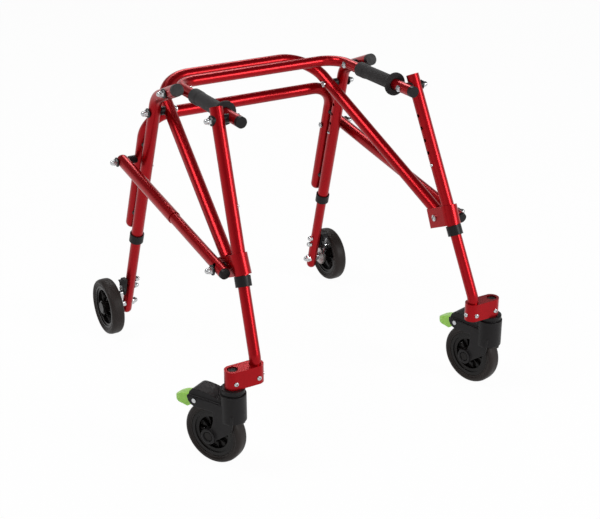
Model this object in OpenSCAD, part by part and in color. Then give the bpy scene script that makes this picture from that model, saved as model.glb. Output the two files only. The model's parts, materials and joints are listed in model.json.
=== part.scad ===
// Posterior walker: a four-wheeled frame that stands behind its user.
// Open side to -Y, floor at z = 0, origin on the floor midway between the rear wheels.

/* [Tubes] */
// Outer diameter of the main tubes
main_d = 25.4; // [22:0.1:32]
// Outer diameter of the tubes that slide in the main tubes, and of the handle bow
slide_d = 22.2; // [18:0.1:24]
// Wall of the sliding tubes
slide_wall = 1.5; // [1:0.1:2.5]
// Radial clearance of a sliding tube
slide_fit = 0.1; // [0.05:0.01:0.1]

/* [Rear wheels] */
// Diameter of a rear wheel
rear_wheel_d = 127; // [115:1:140]
// Width of a rear tyre
rear_tyre_w = 30; // [24:1:34]
// Distance of a rear wheel's middle from the centre plane
rear_wheel_x = 290; // [280:1:310]

/* [Casters] */
// Diameter of a caster wheel
caster_wheel_d = 125; // [115:1:130]
// Width of a caster tyre
caster_tyre_w = 30; // [26:1:32]
// Distance of the caster axle behind the swivel axis
caster_trail = 41; // [36:1:46]
// How far the left caster is turned towards the left, in degrees
left_swivel = 28; // [-180:1:180]
// How far the right caster is turned towards the left, in degrees
right_swivel = 14; // [-180:1:180]
// Outer diameter of the fork's swivel housing
housing_d = 50; // [48:1:54]

/* [Front frame] */
// Distance of an upright from the centre plane, at the corner bracket
upright_x = 237; // [225:1:250]
// Place of an upright in Y, at the corner bracket
upright_y = -555; // [-580:1:-530]
// Height of the middle of the corner bracket
bracket_z = 372; // [350:1:390]
// Lean of the uprights, tops to the rear, in degrees
upright_lean = 24.75; // [20:0.25:28]
// Splay of the uprights, feet outwards, in degrees
upright_splay = 4.2; // [2:0.1:6]
// Height of the top of an upright
upright_top_z = 635; // [630:1:660]
// Height of the snap button of a front leg
front_button_z = 468; // [455:1:475]

/* [Rear frame] */
// Distance of a rear leg from the centre plane, at the axle
rear_leg_x = 244; // [238:1:248]
// Lean of the rear legs, tops to the front, in degrees
rear_lean = 18.25; // [15:0.25:20]
// Splay of the rear legs, feet outwards, in degrees
rear_splay = 2.4; // [1:0.1:4]
// Height of the bolt that the rear frame folds about
fold_z = 553; // [540:1:560]
// Height of the corner of a rear leg's bend
cane_z = 587; // [584:1:600]
// Rise of a rear leg's forward end, in degrees
stub_rise = 21.6; // [15:0.1:25]
// Length of a rear leg's forward end, from the bend's corner
stub_len = 104; // [98:1:120]
// Distance of the hook bolt from the bend's corner
hook_reach = 73.5; // [68:0.5:80]
// Height of the snap button of a rear leg
rear_button_z = 424; // [410:1:430]
// Gap between a rear leg and the lower cross bow behind it
cross_gap = 7.6; // [5:0.1:12]
// Height of the bar of the lower cross bow
cross_bar_z = 533; // [520:1:540]
// Height of the ends of the lower cross bow
cross_end_z = 271; // [260:1:300]

/* [Bows and grips] */
// Distance of a handle tube from the centre plane
handle_x = 190; // [186:1:192]
// Distance of the handle bow's rear bar behind the hook bolts
handle_back = 51; // [50:1:70]
// Distance of the back bow from the centre plane, at the fold bolts
back_bow_x = 190; // [186:1:192]
// Distance from a fold bolt to the back bow's corner
back_reach = 91; // [86:1:100]
// Length of a hand grip with its flange
grip_len = 130; // [110:1:140]
// Diameter of a hand grip
grip_d = 31; // [28:0.5:34]
// Diameter of a grip's flange
flange_d = 47; // [40:1:52]

/* [Struts] */
// Height of the bolt at the rear of a strut
strut_z = 433; // [425:1:445]
// Length of a strut's outer tube, from its bolt
strut_tube_len = 253; // [240:1:260]
// Swing of the rear frame from standing to folded, in degrees
fold_swing = 40; // [30:1:42]

/* [Adjustment] */
// Spacing of the adjustment holes along a leg
hole_pitch = 25.4; // [20:0.1:26]
// Number of holes above the one in use
hole_steps = 4; // [1:1:4]

/* [Hidden] */
$fn = 96;
left = -1;
right = 1;
red = "#A30D1C";
black = "#262425";
rubber = "#2E2A29";
steel = "#C9CACD";
green = "#74C043";

// Seams between the straight and bent runs of a tube
seam_gap = 0.1;
seam_w = 0.8;
seam_step = 0.03;

// Shared clearances and cutting overrun
over = 1;
run_gap = 0.3;
pin_fit = 0.08;
seat_fit = 0.05;
notch_relief = 0.25;

// Fasteners
bolt_d = 8;
head_d = 13;
head_h = 2.4;
head_dome = 2;
socket_d = 5.8;
socket_h = 2.6;
nut_d = 14.6;
nut_h = 5.5;
dome_d = 11;
dome_h = 3;
washer_d = 20;
washer_h = 2;
spacer_d = 17;

// Frame details
main_bore = slide_d + 2 * slide_fit;
slide_bore = slide_d - 2 * slide_wall;
main_r = main_d / 2;
slide_r = slide_d / 2;
bow_wall = 1.6;
cap_wall = 2.5;
bracket_w = 34;
bracket_h = 40;
bracket_back = 58;
bracket_round = 5;
foot_back = 51;
foot_depth = 7.5;
pivot_back = 33;
collar_d = 31;
collar_len = 20;
collar_lap = 12;
front_collar_z = 341.6;
rear_collar_z = 241.5;
handle_bend = 45;
back_bend = 80;
cane_bend = 45;
cross_bend = 55;
cross_solid = 6;
saddle_z_low = 300;
saddle_z_high = 470;
saddle_d = 15;
handle_front = 29;
plug_h = 9;
plug_grip = 12;
plug_play = 0.15;
cap_h = 10;
cap_rim = 1;
grip_front = 27.5;
flange_h = 6;
flange_round = 3;
grip_rings = 6;
ring_depth = 0.7;
ring_w = 3;
ring_pitch = 15;

// Snap buttons
button_d = 7;
button_fit = 0.25;
button_out = 3;
leaf_w = 5.6;
leaf_len = 30;
leaf_t = 1;
leaf_in = 1.4;
button_end = 17;

// Strut details
strut_lap = 48;
strut_button_back = 33;
strut_head = 2;
strut_solid = 24;
strut_tail = 24;
slot_play = 1.1;

// Front leg and caster block
leg_bend = 35;
leg_y = -628;
block_z = 168;
block_h = 37;
block_d = 31;
block_floor = 6;
stem_gap = 47;
stem_d = 12;
stem_head_d = 17;
stem_head_h = 7;
stem_recess_d = 20;
stem_recess_h = 9;
screw_d = 4;
screw_head_d = 10;
screw_head_h = 2;
screw_in = 3;
screw_up = 12.5;

// Caster fork, from the floor and from the swivel axis
fork_w = 47;
cheek_t = 5;
wheel_room = 3.5;
hood_z = 157;
hood_low_z = 119;
hood_w = 38;
hood_step_z = 136;
collar_ring_d = 46;
collar_groove_d = 41;
collar_groove_h = 3;
housing_low_z = 101;
stem_end_z = 122;
boss_d = 31;
boss_proud = 4;
boss_recess_d = 20;
boss_recess = 3;
arm_front_t = 14;
arm_front_z = 112;
boss_low_t = 35;
boss_low_z = 50;
boss_high_t = 38;
boss_high_z = 75;
arm_knee_t = -10;
arm_knee_z = 84;
arm_back_t = 31;
arm_back_z = 95;
caster_axle_d = 8;
axle_head_d = 16;
rivet_t = 72;
rivet_z = 129;
rivet_d = 5;
rivet_head_d = 9;
rivet_head_h = 1.6;
hood_end_d = 35;
hood_end_t = 70.5;
hood_end_z = 134;
hood_turn = [-95, 95];
hood_facets = 16;
hood_lip = 1;
hood_bend_t = 46;
hood_bend_z = 152;
hood_start_z = 145;
curve_steps = 6;
hood_start_t = 24;
pedal_w = 25;
pedal_hub_d = 16;
pedal_room = 10;
pedal_root_z = 135;
pedal_heel_z = 122;
pedal_back_t = 84.5;
pedal_back_z = 132.5;
pedal_crown_t = 107;
pedal_crown_z = 132.5;
pedal_nose_t = 130.5;
pedal_nose_z = 117;
pedal_chin_t = 129;
pedal_chin_z = 107;
pedal_floor_t = 108;
pedal_floor_z = 105.8;
pedal_low_t = 97;
pedal_low_z = 104;
pedal_round_t = 116.5;
roof_z = 138;

// Wheels
tyre_depth = 15;
tyre_round = 7;
tyre_lip = 2;
rim_t = 5;
rim_w = 24;
hub_d = 30;
hub_w = 30;
spokes = 5;
spoke_t = 8;
spoke_w = 14;
web_t = 3;
rear_axle_d = 10;
rear_hub_in = 26;
ratchet_d = 43;
ratchet_w = 6;
ratchet_teeth = 24;
tooth_h = 2.6;
tooth_steep_share = 0.25;
tooth_end_share = 0.95;
ratchet_phase = 8.5;
ratchet_neck_d = 24;

// Rear foot, pawl and its block
foot_low_z = 46;
foot_solid = 8;
axle_washer_d = 18;
block_low_z = 94;
block_top_z = 133;
block_y_room = 8;
block_in = 9;
block_out = 18.5;
lug_in = 13;
lug_out = 18;
lug_room = 5;
lug_top_z = 114;
shelf_z = 122;
shelf_out = 26.5;
shelf_w = 11;
block_bolt_z_low = 107;
block_bolt_z_high = 125;
block_bolt_d = 6;
pawl_y = -22;
pawl_z = 100;
pawl_pin_d = 4;
pawl_d = 11;
pawl_tip_r = 23.2;
pawl_tip_dir = 150;
pawl_tip_w = 2.4;
pawl_w = 6;
spring_y = -24.5;
spring_d = 7.5;
spring_wire = 1.1;
spring_turns = 5;
spring_sides = 6;
spring_steps = 8;

// Directions, points on the tubes and pivots
function unit(v) = v / norm(v);
function incline(v) = atan2(norm([v[0], v[1]]), v[2]);
function bearing(v) = atan2(v[1], v[0]);
// Angle about an aimed axis n that turns the aimed frame's X towards v
function roll(n, v) = atan2(v * [-sin(bearing(n)), cos(bearing(n)), 0],
    v * [cos(bearing(n)) * cos(incline(n)), sin(bearing(n)) * cos(incline(n)), -sin(incline(n))]);
function inward(v) = unit([-1, 0, 0] + v[0] * v);
function flip(p, s) = [s * p[0], p[1], p[2]];
function upright_at(z) = [
    upright_x - (z - bracket_z) * tan(upright_splay),
    upright_y + (z - bracket_z) * tan(upright_lean), z];
axle_z = rear_wheel_d / 2;
function rear_leg_at(z) = [
    rear_leg_x - (z - axle_z) * tan(rear_splay), -(z - axle_z) * tan(rear_lean), z];
cross_step = (main_d + cross_gap) / cos(rear_lean);
function cross_at(z) = rear_leg_at(z) + [0, cross_step, 0];
upright_dir = unit(upright_at(upright_top_z) - upright_at(bracket_z));
rear_dir = unit(rear_leg_at(cane_z) - rear_leg_at(axle_z));
fold_pt = rear_leg_at(fold_z);
cane_pt = rear_leg_at(cane_z);
stub_dir = [0, -cos(stub_rise), sin(stub_rise)];
hook_pt = cane_pt + hook_reach * stub_dir;
stub_end = cane_pt + stub_len * stub_dir;
handle_z = hook_pt[2];
post_pt = upright_at(handle_z);
grip_y = post_pt[1] + grip_front;
bracket_pt = upright_at(bracket_z);
bracket_up = [0, sin(upright_lean), cos(upright_lean)];
bracket_rear = [0, cos(upright_lean), -sin(upright_lean)];
bow_fold = [back_bow_x, fold_pt[1], fold_pt[2]];
bow_foot = bracket_pt + foot_back * bracket_rear + bracket_h / 2 * bracket_up;
bow_dir = unit(bow_fold - bow_foot);
bow_corner = bow_fold + back_reach * bow_dir;
bow_end = bow_foot - foot_depth * bow_dir;
leg_corner_z = bracket_z + (leg_y - upright_y) / tan(upright_lean);
leg_pt = upright_at(leg_corner_z);
stem_pt = leg_pt + [stem_gap, 0, 0];
caster_r = caster_wheel_d / 2;
fork_top_z = block_z - run_gap;
tyre_room_r = caster_r + wheel_room;

// Strut geometry in the YZ plane: the front bolt sits in a slot that takes up the strut's dip
strut_pt = cross_at(strut_z);
front_pt = bracket_pt + pivot_back * bracket_rear;
strut_x = upright_x + bracket_w / 2 + washer_h + 2 * run_gap + slide_r;
function flat(p) = [p[1], p[2]];
function swung(a) = let (v = flat(strut_pt) - flat(fold_pt))
    flat(fold_pt) + [v[0] * cos(a) + v[1] * sin(a), v[1] * cos(a) - v[0] * sin(a)];
function slope(v) = atan2(v[1], v[0]);
function span(a) = flat(front_pt) - swung(a);
turn_share = (slope(span(fold_swing)) - slope(span(0))) / fold_swing;
slide_rate = (norm(span(0)) - norm(span(fold_swing))) / fold_swing;
function dip(a) = let (way = slope(span(0)) + turn_share * a)
    -span(a)[0] * sin(way) + span(a)[1] * cos(way);
fold_steps = [for (i = [0 : 1 : fold_swing]) dip(i)];
dip_low = min(fold_steps);
dip_high = max(fold_steps);
dip_mid = (dip_low + dip_high) / 2;
slot_reach = dip_high - dip_low;
strut_len = norm(span(0));
strut_way = slope(span(0));
strut_turn = atan2(dip_mid, strut_len);
strut_dir = [0, cos(strut_way + strut_turn), sin(strut_way + strut_turn)];
strut_down = [0, -strut_dir[2], strut_dir[1]];
strut_start = [strut_x, strut_pt[1], strut_pt[2]];
strut_front = strut_start + strut_len * cos(strut_turn) * strut_dir;
strut_button = strut_start + (strut_tube_len - strut_button_back) * strut_dir;
echo(fold_pivot = fold_pt, hook = hook_pt, post = post_pt, handle_z = handle_z);
echo(strut_pivot = strut_start, strut_front = strut_front, strut_dir = strut_dir, front_pt = front_pt);
echo(strut_down = strut_down, turn_share = turn_share, slide_mm_per_degree = slide_rate);
echo(slot_reach = slot_reach, strut_button = strut_button);
echo(upright_dir = upright_dir, rear_dir = rear_dir, stem = stem_pt, bow_foot = bow_foot);
echo(cane = cane_pt, stub_end = stub_end, grip_y = grip_y, bow_corner = bow_corner, bow_fold = bow_fold);

// Placing helpers
module on_side(s) {
    if (s < 0) mirror([1, 0, 0]) children();
    else children();
}
module both() {
    for (s = [left, right]) on_side(s) children();
}
module aim(p, v) {
    translate(p) rotate([0, incline(v), bearing(v)]) children();
}
module rod(a, b, d) {
    aim(a, b - a) cylinder(h = norm(b - a), d = d);
}
module domed_rod(a, b, d) {
    aim(a, b - a) {
        cylinder(h = norm(b - a), d = d);
        sphere(d = d);
    }
}
module ring(d, bore) {
    difference() {
        circle(d = d);
        if (bore > 0) circle(d = bore);
    }
}
module cross_rod(p, x0, x1, d) {
    rod([x0, p[1], p[2]], [x1, p[1], p[2]], d);
}

// A tube along straight runs with round bends at the inner points
function turn(p, i) = acos(unit(p[i] - p[i - 1]) * unit(p[i + 1] - p[i]));
function trim(p, i, r) = i == 0 || i == len(p) - 1 ? 0 : r * tan(turn(p, i) / 2);
module bend_arc(p, i, r, d, bore) {
    u = unit(p[i] - p[i - 1]);
    v = unit(p[i + 1] - p[i]);
    n = unit(cross(u, v));
    middle = p[i] + unit(v - u) * r / cos(turn(p, i) / 2);
    aim(middle, n) rotate([0, 0, roll(n, cross(u, n))])
        rotate_extrude(angle = turn(p, i)) translate([r, 0]) ring(d, bore);
}
module tube_run(p, r, d, bore) {
    for (i = [0 : len(p) - 2]) {
        u = unit(p[i + 1] - p[i]);
        t0 = trim(p, i, r);
        t1 = trim(p, i + 1, r);
        a = p[i] + (t0 > 0 ? t0 + seam_gap : 0) * u;
        b = p[i + 1] - (t1 > 0 ? t1 + seam_gap : 0) * u;
        aim(a, u) linear_extrude(norm(b - a)) ring(d, bore);
        if (t0 > 0) seam(p[i] + t0 * u, u, d, bore);
        if (t1 > 0) seam(p[i + 1] - t1 * u, u, d, bore);
    }
    for (i = [1 : 1 : len(p) - 2]) bend_arc(p, i, r, d, bore);
}
module seam(p, u, d, bore) {
    aim(p - seam_w / 2 * u, u) linear_extrude(seam_w) ring(d + 2 * seam_step, bore - 2 * seam_step);
}

// Fasteners along +X: a bolt with its head inwards, and a cap nut on its outer end
module bolt(p, x0, x1, d = bolt_d) {
    translate([x0, p[1], p[2]]) difference() {
        union() {
            rotate([0, 90, 0]) cylinder(h = x1 - x0, d = d);
            rotate([0, -90, 0]) cylinder(h = head_h, d = head_d);
            translate([-head_h, 0, 0]) rotate([0, -90, 0])
                cylinder(h = head_dome, d1 = head_d, d2 = head_d / 2);
        }
        translate([-head_h - head_dome - over, 0, 0]) rotate([0, 90, 0])
            cylinder(h = socket_h + over, d = socket_d, $fn = 6);
    }
}
module cap_nut(p, x0, d = bolt_d) {
    translate([x0, p[1], p[2]]) rotate([0, 90, 0]) difference() {
        union() {
            cylinder(h = nut_h, d = nut_d, $fn = 6);
            cylinder(h = nut_h + dome_h, d = dome_d);
            translate([0, 0, nut_h + dome_h]) sphere(d = dome_d);
        }
        translate([0, 0, -over]) cylinder(h = nut_h + dome_h + over, d = d + 2 * seat_fit);
    }
}
module washer(p, x0, x1, d, bore = bolt_d) {
    difference() {
        cross_rod(p, x0, x1, d);
        cross_rod(p, x0 - over, x1 + over, bore + 2 * seat_fit);
    }
}

// Where the bolts' heads, washers and nuts sit along X
head_gap = 1;
post_in = handle_x - slide_r - seat_fit;
post_out = post_pt[0] + main_r + washer_h;
hook_out = hook_pt[0] + main_r + run_gap + washer_h;
fold_lean = spacer_d / 2 * tan(rear_splay);
fold_in = back_bow_x - main_r - head_gap;
fold_seat = fold_pt[0] - main_r - fold_lean - run_gap;
fold_out = fold_pt[0] + main_r + washer_d / 2 * tan(rear_splay) + run_gap + washer_h;
bracket_in = upright_x - bracket_w / 2;
bracket_out = upright_x + bracket_w / 2;
front_out = strut_x + slide_r + run_gap + washer_h;
strut_in = strut_pt[0] - main_r - head_gap;
strut_out = strut_x + main_r + run_gap + washer_h;

// Front frame
module back_bow_line(extra) {
    p = [bow_end - extra * bow_dir, bow_corner, flip(bow_corner, left),
        flip(bow_end - extra * bow_dir, left)];
    tube_run(p, back_bend, main_d, main_d - 2 * bow_wall);
}
module back_bow() color(red) difference() {
    back_bow_line(0);
    both() cross_rod(fold_pt, bow_fold[0] - main_d, bow_fold[0] + main_d, bolt_d + 2 * seat_fit);
}
module bracket_plan() {
    circle(d = bracket_w);
    translate([-bracket_w / 2, 0]) square([bracket_w, bracket_back - bracket_round]);
    translate([bracket_round - bracket_w / 2, 0]) square([bracket_w - 2 * bracket_round, bracket_back]);
    for (s = [left, right]) translate([s * (bracket_w / 2 - bracket_round), bracket_back - bracket_round])
        circle(r = bracket_round);
}
module corner_brackets() color(red) both() difference() {
    translate(bracket_pt) rotate([-upright_lean, 0, 0])
        linear_extrude(bracket_h, center = true) bracket_plan();
    rod(upright_at(bracket_z - bracket_h), upright_at(bracket_z + bracket_h), main_d + 2 * seat_fit);
    rod(bow_end, bow_foot + bracket_h * bow_dir, main_d + 2 * seat_fit);
    cross_rod(front_pt, bracket_in - over, bracket_out + over, bolt_d + 2 * seat_fit);
}
module front_uprights() color(red) both() difference() {
    rod(upright_at(front_collar_z), upright_at(upright_top_z), main_d);
    rod(upright_at(front_collar_z) - over * upright_dir,
        upright_at(upright_top_z) - cap_wall * upright_dir, main_bore);
    cross_rod(post_pt, post_pt[0] - main_d, post_pt[0] + main_d, bolt_d + 2 * seat_fit);
    for (i = [0 : hole_steps]) let (h = upright_at(front_button_z) + i * hole_pitch * upright_dir)
        button_hole(h, inward(upright_dir));
}
module handle_bow() color(red) difference() {
    y0 = post_pt[1] - handle_front;
    y1 = hook_pt[1] + handle_back;
    p = [[handle_x, y0, handle_z], [handle_x, y1, handle_z], [-handle_x, y1, handle_z],
        [-handle_x, y0, handle_z]];
    tube_run(p, handle_bend, slide_d, slide_bore);
    both() for (b = [post_pt, hook_pt])
        cross_rod(b, handle_x - slide_d, handle_x + slide_d, bolt_d + 2 * seat_fit);
}
module hand_grips() color(black) both() translate([handle_x, grip_y, handle_z]) rotate([-90, 0, 0])
difference() {
    union() {
        cylinder(h = grip_len, d = grip_d);
        cylinder(h = flange_h - flange_round, d = flange_d);
        translate([0, 0, flange_h - flange_round])
            cylinder(h = flange_round, d1 = flange_d, d2 = grip_d);
    }
    translate([0, 0, -over]) cylinder(h = grip_len + 2 * over, d = slide_d + 2 * seat_fit);
    for (i = [1 : grip_rings]) translate([0, 0, flange_h + i * ring_pitch])
        rotate_extrude() translate([grip_d / 2 - ring_depth, 0]) square([ring_w, ring_w]);
}
module handle_plugs() color(black) both()
translate([handle_x, post_pt[1] - handle_front, handle_z]) rotate([90, 0, 0]) {
    cylinder(h = plug_h - plug_play, d = slide_d);
    translate([0, 0, -plug_grip]) cylinder(h = plug_grip, d = slide_bore - 2 * plug_play);
}
module sleeve(p, v) {
    aim(p - collar_len / 2 * v, v) difference() {
        cylinder(h = collar_len, d = collar_d);
        translate([0, 0, -over]) cylinder(h = collar_len + 2 * over, d = main_bore);
        translate([0, 0, collar_len - collar_lap]) cylinder(h = collar_len, d = main_d + 2 * seat_fit);
    }
}
module front_collars() color(black) both()
    sleeve(upright_at(front_collar_z) - (collar_len / 2 - collar_lap) * upright_dir, upright_dir);
module frame_bolts() color(steel) both() {
    bolt(post_pt, post_in, post_out + nut_h);
    bolt(hook_pt, post_in, hook_out + nut_h);
    bolt(fold_pt, fold_in, fold_out + nut_h);
    bolt(front_pt, bracket_in, front_out + nut_h);
}
module frame_cap_nuts() color(steel) both() {
    cap_nut(post_pt, post_out);
    cap_nut(hook_pt, hook_out);
    cap_nut(fold_pt, fold_out);
    cap_nut(front_pt, front_out);
}
module frame_washers() color(black) both() {
    difference() {
        union() {
            washer(post_pt, handle_x, post_pt[0], spacer_d);
            washer(post_pt, post_pt[0], post_out, washer_d);
        }
        rod(upright_at(bracket_z), upright_at(upright_top_z + main_d), main_d + 2 * seat_fit);
        rod([handle_x, post_pt[1] - handle_front, handle_z], [handle_x, post_pt[1] + handle_front, handle_z],
            slide_d + 2 * seat_fit);
    }
    difference() {
        washer(hook_pt, handle_x, hook_pt[0] - main_r - run_gap, spacer_d);
        rod([handle_x, hook_pt[1] - handle_front, handle_z], [handle_x, hook_pt[1] + handle_front, handle_z],
            slide_d + 2 * seat_fit);
    }
    washer(hook_pt, hook_out - washer_h, hook_out, washer_d);
    difference() {
        washer(fold_pt, back_bow_x, fold_seat, spacer_d);
        rod(bow_foot, bow_corner, main_d + 2 * seat_fit);
    }
    washer(fold_pt, fold_out - washer_h, fold_out, washer_d);
    washer(front_pt, bracket_out, bracket_out + washer_h, washer_d);
    washer(front_pt, front_out - washer_h, front_out, washer_d);
}

// Rear frame, which folds about the fold bolts
module hook_notch() {
    v = flat(hook_pt) - flat(fold_pt);
    translate([hook_pt[0] - main_d, fold_pt[1], fold_pt[2]]) rotate([90, 0, 90])
        rotate([0, 0, slope(v)]) rotate_extrude(angle = fold_swing)
            translate([norm(v) - bolt_d / 2 - run_gap, 0]) square([bolt_d + 2 * run_gap, 2 * main_d]);
    cross_rod(hook_pt, hook_pt[0] - main_d, hook_pt[0] + main_d, bolt_d + 2 * (run_gap + notch_relief));
}
module rear_legs() color(red) both() difference() {
    tube_run([rear_leg_at(rear_collar_z), cane_pt, stub_end], cane_bend, main_d, main_bore);
    cross_rod(fold_pt, fold_pt[0] - main_d, fold_pt[0] + main_d, bolt_d + 2 * pin_fit);
    hook_notch();
    for (i = [0 : hole_steps]) let (h = rear_leg_at(rear_button_z) + i * hole_pitch * rear_dir)
        button_hole(h, inward(rear_dir));
}
module lower_cross_bow() color(red) difference() {
    union() {
        start = cross_at(cross_end_z) + (cross_solid + seam_gap) * rear_dir;
        p = [start, cross_at(cross_bar_z), flip(cross_at(cross_bar_z), left), flip(start, left)];
        tube_run(p, cross_bend, main_d, main_d - 2 * bow_wall);
        both() {
            domed_rod(cross_at(cross_end_z), cross_at(cross_end_z) + cross_solid * rear_dir, main_d);
            seam(cross_at(cross_end_z) + cross_solid * rear_dir, rear_dir, main_d, main_d - 2 * bow_wall);
        }
    }
    both() cross_rod(strut_pt, strut_pt[0] - main_d, strut_pt[0] + main_d, bolt_d + 2 * seat_fit);
}
module rear_leg_caps() color(black) both() aim(stub_end, stub_dir) {
    cylinder(h = cap_h, d1 = main_d, d2 = main_d - cap_rim);
    translate([0, 0, -plug_grip]) cylinder(h = plug_grip, d = main_bore - 2 * plug_play);
}
module rear_collars() color(black) both()
    sleeve(rear_leg_at(rear_collar_z) - (collar_len / 2 - collar_lap) * rear_dir, rear_dir);
module rear_spacers() color(black) both() {
    for (z = [saddle_z_low, saddle_z_high]) difference() {
        rod(rear_leg_at(z), cross_at(z), saddle_d);
        rod(rear_leg_at(z - saddle_d), rear_leg_at(z + saddle_d), main_d + 2 * seat_fit);
        rod(cross_at(z - saddle_d), cross_at(z + saddle_d), main_d + 2 * seat_fit);
    }
    difference() {
        washer(strut_pt, strut_pt[0], strut_x - main_r - run_gap, spacer_d);
        rod(cross_at(strut_z - main_d), cross_at(strut_z + main_d), main_d + 2 * seat_fit);
    }
    washer(strut_pt, strut_out - washer_h, strut_out, washer_d);
}
module strut_bolts() color(steel) both() {
    bolt(strut_pt, strut_in, strut_out + nut_h);
    cap_nut(strut_pt, strut_out);
}

// Struts: an outer tube on the rear frame and a slider whose slotted end rides on the bracket's bolt
module strut_tube() color(red) difference() {
    domed_rod(strut_start - strut_head * strut_dir, strut_start + strut_tube_len * strut_dir, main_d);
    rod(strut_start + strut_solid * strut_dir, strut_start + (strut_tube_len + over) * strut_dir, main_bore);
    cross_rod(strut_pt, strut_x - main_d, strut_x + main_d, bolt_d + 2 * pin_fit);
    button_hole(strut_button, strut_down);
}
module strut_slider() color(red) difference() {
    rear = strut_start + (strut_tube_len - strut_lap) * strut_dir;
    front = strut_front + strut_tail * strut_dir;
    rod(rear, front, slide_d);
    rod(rear - over * strut_dir, front + over * strut_dir, slide_bore);
    button_hole(strut_button, strut_down);
    hole = bolt_d + 2 * slot_play;
    for (s = [left, right]) cross_rod(strut_front + s * slot_reach / 2 * strut_down,
        strut_x - main_d, strut_x + main_d, hole);
    aim(strut_front - slot_reach / 2 * strut_down, strut_down) rotate([0, 0, roll(strut_down, [1, 0, 0])])
        translate([-main_d, -hole / 2, 0]) cube([2 * main_d, hole, slot_reach]);
}
module strut_plug() color(black) aim(strut_front + strut_tail * strut_dir, strut_dir) {
    cylinder(h = cap_h / 2, d1 = slide_d, d2 = slide_d - 2 * cap_rim);
    translate([0, 0, -plug_grip]) cylinder(h = plug_grip, d = slide_bore - 2 * plug_play);
}

// A snap button on its leaf: p on the tube's axis, v the way it points, along the tube's direction
module button_hole(p, v) {
    rod(p, p + main_d * v, button_d + 2 * button_fit);
}
module snap_button(p, v, along) color(steel) {
    top = main_r + button_out - button_d / 2;
    base = p + (slide_bore / 2 - leaf_in - leaf_t) * v;
    domed_rod(p + top * v, base, button_d);
    aim(base - leaf_len * along, along) rotate([0, 0, roll(along, v)])
        translate([0, -leaf_w / 2, 0]) cube([leaf_t, leaf_w, leaf_len + button_d / 2]);
}

// Front legs, caster blocks and stems
module front_leg() color(red) difference() {
    top = upright_at(front_button_z) + button_end * upright_dir;
    tube_run([top, leg_pt, [leg_pt[0], leg_pt[1], block_z + block_floor]], leg_bend, slide_d, slide_bore);
    button_hole(upright_at(front_button_z), inward(upright_dir));
}
module caster_block() color(red) difference() {
    translate([0, 0, block_z]) linear_extrude(block_h) {
        for (p = [leg_pt, stem_pt]) translate([p[0], p[1]]) circle(d = block_d);
        translate([leg_pt[0], leg_pt[1] - block_d / 2]) square([stem_gap, block_d]);
    }
    translate([leg_pt[0], leg_pt[1], block_z + block_floor])
        cylinder(h = block_h, d = slide_d + 2 * seat_fit);
    translate([stem_pt[0], stem_pt[1], block_z - over]) cylinder(h = block_h, d = stem_d + 2 * seat_fit);
    translate([stem_pt[0], stem_pt[1], block_z + block_h - stem_recess_h])
        cylinder(h = block_h, d = stem_recess_d);
    block_screws(screw_d + 2 * seat_fit, 0);
}
module block_screws(d, head) {
    z = block_z + screw_up;
    for (p = [leg_pt, stem_pt]) translate([p[0], p[1] - block_d / 2, z]) rotate([90, 0, 0])
        screw(d, head);
    translate([leg_pt[0] - block_d / 2, leg_pt[1], z]) rotate([0, -90, 0]) screw(d, head);
}
module screw(d, head) {
    translate([0, 0, -screw_in]) cylinder(h = screw_in + screw_head_h / 2, d = d);
    if (head > 0) {
        cylinder(h = head / 2, d = screw_head_d);
        translate([0, 0, head / 2]) cylinder(h = head / 2, d1 = screw_head_d, d2 = screw_d);
    }
}
module caster_bolts() color(steel) {
    block_screws(screw_d, screw_head_h);
    translate([stem_pt[0], stem_pt[1], stem_end_z])
        cylinder(h = block_z + block_h - stem_recess_h - stem_end_z, d = stem_d);
    translate([stem_pt[0], stem_pt[1], block_z + block_h - stem_recess_h])
        cylinder(h = stem_head_h, d = stem_head_d, $fn = 6);
}

// Casters, drawn with the swivel axis at the origin and the wheel trailing along +X
module at_caster(s) {
    turn_to = s < 0 ? left_swivel : right_swivel;
    translate([s * stem_pt[0], stem_pt[1], 0]) rotate([0, 0, 90 + turn_to]) children();
}
module side_plate(w) {
    translate([0, w / 2, 0]) rotate([90, 0, 0]) linear_extrude(w) children();
}
module pin(t, z, len, d) {
    translate([t, len / 2, z]) rotate([90, 0, 0]) cylinder(h = len, d = d);
}
module arm_outline() {
    polygon([[-arm_front_t, hood_low_z], [-arm_front_t, arm_front_z], [arm_knee_t, arm_knee_z],
        [boss_low_t, boss_low_z], [boss_high_t, boss_high_z], [arm_back_t, arm_back_z],
        [arm_back_t, hood_low_z]]);
}
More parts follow.
